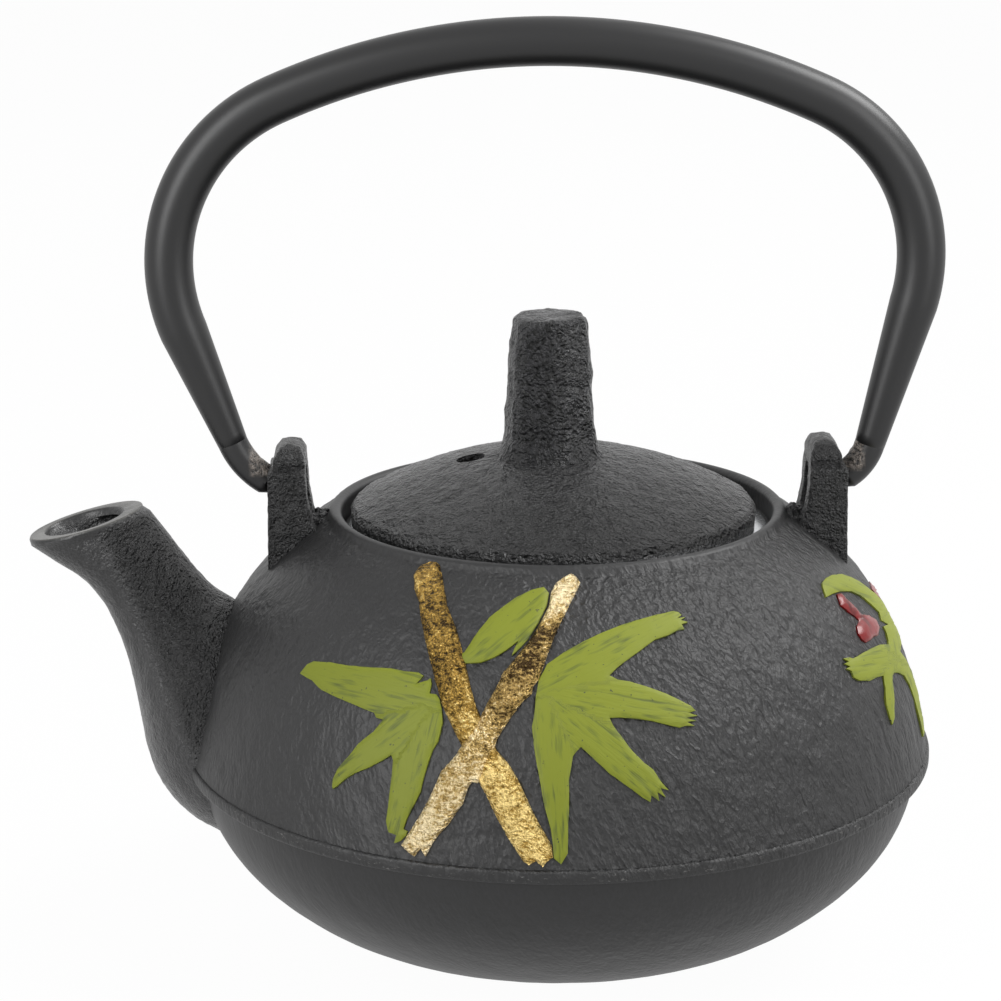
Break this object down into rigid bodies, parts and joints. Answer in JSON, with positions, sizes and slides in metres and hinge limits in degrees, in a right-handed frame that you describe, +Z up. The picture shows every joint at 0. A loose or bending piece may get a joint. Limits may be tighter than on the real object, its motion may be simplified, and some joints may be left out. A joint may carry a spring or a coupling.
{
  "type": "cast-iron teapot",
  "caption": "Small squat cast-iron teapot with a ribbed bowl, raised spout, tall knobbed lid, swinging hoop handle and lift-out strainer basket.",
  "frame": {"origin": "on the table, at the centre of the flat foot", "axes": "+Z up along the pot's axis; the spout points along -X; the two ears and the line that the bail swings about lie along X; -Y is the decorated front"},
  "size_m": [0.1453, 0.12, 0.148],
  "materials": {
    "cast_iron": "matt black lacquer over a crinkled cast surface",
    "black_steel": "smooth satin black lacquer",
    "hook_steel": "black lacquer, raw and rough at the inside of the bend",
    "stainless": "bright stamped stainless steel",
    "steel_mesh": "fine woven stainless wire"
  },
  "bodies": {
    "pot": {"pot_body": "cast_iron", "lip": "cast_iron", "ledge": "cast_iron", "spout": "cast_iron", "ear_left": "cast_iron", "ear_right": "cast_iron"},
    "bail": {"bail_tube": "black_steel", "bail_hook_left": "hook_steel", "bail_hook_right": "hook_steel"},
    "infuser": {"infuser_rim": "stainless", "infuser_mesh_wall": "steel_mesh", "infuser_mesh_floor": "steel_mesh", "infuser_hem": "stainless"},
    "lid": {"lid": "cast_iron"}
  },
  "joints": [
    {"name": "bail_swing", "type": "hinge", "parent": "pot", "child": "bail", "pos_m": [0, 0, 0.0752], "axis": [1, 0, 0], "range_deg": [-112, 112]},
    {"name": "infuser_lift", "type": "slide", "parent": "pot", "child": "infuser", "axis": [0, 0, 1], "range_m": [0, 0.034]},
    {"name": "lid_lift", "type": "slide", "parent": "infuser", "child": "lid", "axis": [0, 0, 1], "range_m": [0, 0.034]}
  ]
}
